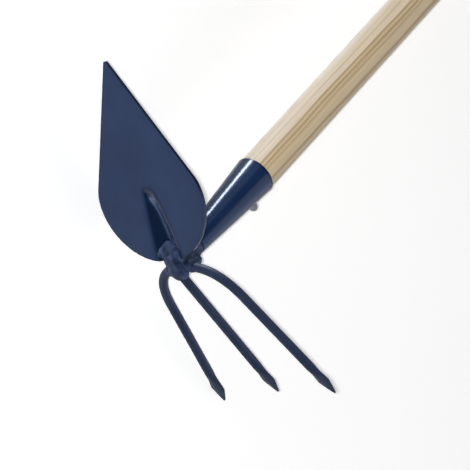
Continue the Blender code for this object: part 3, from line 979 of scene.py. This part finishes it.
def roughenWeld(piece):
    # uneven all over, with painted shade in the hollows and the nook, and painted highlight on the
    # bumps
    tall, size = hub["roughMm"]
    ripple, rippleSize = hub["ripplesMm"]
    rippleAt, nookAt = Vector(hub["ripplesAt"]), Vector(hub["nookShadeMm"])
    moved = []
    pool = piece.data.attributes.new("pool", "FLOAT", "POINT")
    for vert in piece.data.vertices:
        spot = vert.co / mm
        rise = tall * noise.noise(spot / size)
        rise += ripple * noise.noise(spot / rippleSize + rippleAt)
        fade = smoothShare(-spot.x / hub["smoothLipMm"])
        nookShade = smoothShare(hub["nookShadeEdge"] - (spot - nookAt).length / hub["nookShadeSizeMm"])
        pool.data[vert.index].value = nookShade - fade * rise / hub["hollowShadeMm"]
        moved.append(vert.co + vert.normal * rise * fade * mm)
    for vert, place in zip(piece.data.vertices, moved):
        vert.co = place


def pushOffBlade(piece):
    # nothing of the weld lies inside the sheet beside the groove
    toBlade = bladePlace.inverted()
    proud = hub["proudMm"]
    for vert in piece.data.vertices:
        inBlade = toBlade @ vert.co / mm
        if inBlade.x > blade["rootMm"]:
            surface = grooveDepth(inBlade.x, inBlade.y)
            if surface < proud and inBlade.z < surface + proud:
                inBlade.z = surface + proud
                vert.co = bladePlace @ (inBlade * mm)


def makeHub():
    stations = [(radius, -below) for below, radius in hub["profileMm"]]
    piece = pullRings("weldedHub", stations, hub["sides"])
    closeEnds(piece)
    mergeAndTurnOut(piece)
    pick(piece)
    piece.matrix_world = upHandle
    bpy.ops.object.transform_apply(location=True, rotation=True, scale=True)
    lumps = [makeLump(place, halves) for place, halves in weldLumps]
    pick(piece)
    for lump in lumps:
        lump.select_set(True)
    bpy.ops.object.join()
    skin = piece.modifiers.new("skin", "REMESH")
    skin.mode = "VOXEL"
    skin.voxel_size = hub["voxelMm"] * mm
    soften = piece.modifiers.new("soften", "SMOOTH")
    soften.factor = hub["soften"]
    soften.iterations = hub["softenTimes"]
    applyAll(piece)
    roughenWeld(piece)
    pushOffBlade(piece)
    closeAndSmooth(piece, hub["smoothDegrees"])
    seat(piece, Matrix.Identity(4))
    finishPiece(piece, weldEnamel, "dark_blue_paint", "hub_weld")


makeHub()
print("hub made")


studio = {
    "softColour": "#ffffff",
    "glossColour": "#dae7ff",
    "floorColour": "#f0f0f0",
    "floorWhite": 0.39,         # plain white that the camera and mirrors see added to it
    "floorSize": 16,
    "ambient": 0.1,
}
# lamps by place and aim in the tool's own frame (up the handle, to the blade, across) in
# metres, width along the handle and height, and power; one without an aim looks at the
# frame's origin; a gloss one shows in reflections only, the others in matt shading only
lamps = {
    "byCamera": {"place": (-1.280, 0.8545, 1.784), "size": (0.05, 0.05), "power": 38},
    "leftSoft": {"place": (-0.36, 1.75, 0.20), "size": (1.4, 0.3), "power": 12},
    "frontSoft": {"place": (-1.78, 0.19, 0.24), "size": (1.2, 0.4), "power": 3},
    "rightSoft": {"place": (0.57, -1.62, 0.82), "size": (1.6, 1.0), "power": 6},
    "strip": {
        "place": (0.18, 0.24, -0.012), "aim": (0.04, 0, 0), "size": (0.18, 0.045),
        "power": 2.5, "gloss": True,
    },
    "leftCard": {"place": (0.77, 1.35, 0.90), "size": (1.2, 1.0), "power": 3, "gloss": True},
    "topCard": {"place": (1.01, 1.01, 1.10), "size": (1.2, 0.5), "power": 1.5, "gloss": True},
    "rightCard": {"place": (0.86, -1.43, 0.91), "size": (2.4, 3.0), "power": 52, "gloss": True},
}
photoCamera = {
    "place": (-1.26131, 0.83645, 1.80643),   # in the tool's own frame, metres
    "turn": (5.9404, -40.3024, -42.6047),    # degrees
    "lens": 264.38,
    "sensorMm": 36,
    "farM": 60,
}


def makeFloor():
    pick(None)
    bpy.ops.mesh.primitive_plane_add(size=studio["floorSize"], location=(0, 0, 0))
    floor = bpy.context.active_object
    floor.name = "floor"
    # matt paper sweep: a plain white with soft shadows
    made = bpy.data.materials.new("matWhiteFloor")
    made.use_nodes = True
    tree = made.node_tree
    tree.nodes.clear()
    rays = addNode(tree, "LightPath").outputs
    either = {"operation": "MAXIMUM"}
    shown = addNode(tree, "Math", either, {0: rays["Is Camera Ray"], 1: rays["Is Glossy Ray"]})
    shown = addNode(tree, "Math", either, {0: shown, 1: rays["Is Transmission Ray"]})
    matt = addNode(tree, "BsdfDiffuse", {"Color": linearColour(studio["floorColour"])})
    whiter = {"operation": "MULTIPLY", 1: studio["floorWhite"]}
    glow = addNode(tree, "Math", whiter, {0: shown})
    white = addNode(tree, "Emission", None, {"Strength": glow})
    mixed = addNode(tree, "AddShader", None, {0: matt, 1: white})
    addNode(tree, "OutputMaterial", None, {"Surface": mixed})
    floor.data.materials.append(made)


def makeLamps():
    world = bpy.data.worlds.new("paleStudio")
    bpy.context.scene.world = world
    world.use_nodes = True
    background = world.node_tree.nodes["Background"].inputs
    background["Color"].default_value = grey(1)
    background["Strength"].default_value = studio["ambient"]
    along = (toolMatrix.to_3x3() @ Vector((1, 0, 0))).normalized()
    for name, given in lamps.items():
        gloss = given.get("gloss", False)
        light = bpy.data.lights.new(name, "AREA")
        light.shape = "RECTANGLE"
        light.size, light.size_y = given["size"]
        light.energy = given["power"]
        light.color = linearColour(studio["glossColour" if gloss else "softColour"])[:3]
        lamp = bpy.data.objects.new(name, light)
        bpy.context.scene.collection.objects.link(lamp)
        place = toolMatrix @ Vector(given["place"])
        aim = toolMatrix @ Vector(given.get("aim", (0, 0, 0)))
        outward = (place - aim).normalized()
        sideways = (along - outward * along.dot(outward)).normalized()
        upward = outward.cross(sideways)
        turn = Matrix((sideways, upward, outward)).transposed().to_4x4()
        lamp.matrix_world = Matrix.Translation(place) @ turn
        lamp.visible_camera = False
        lamp.visible_glossy = gloss
        lamp.visible_diffuse = not gloss


def makeCamera():
    camera = bpy.data.objects.new("photoCamera", bpy.data.cameras.new("photoCamera"))
    bpy.context.scene.collection.objects.link(camera)
    turn = [math.radians(value) for value in photoCamera["turn"]]
    inTool = Matrix.LocRotScale(Vector(photoCamera["place"]), Euler(turn, "XYZ"), None)
    camera.matrix_world = toolMatrix @ inTool
    camera.data.lens = photoCamera["lens"]
    camera.data.sensor_width = photoCamera["sensorMm"]
    camera.data.clip_end = photoCamera["farM"]
    bpy.context.scene.camera = camera


makeFloor()
makeLamps()
makeCamera()
bpy.context.scene.view_settings.view_transform = "Standard"
print("studio made")
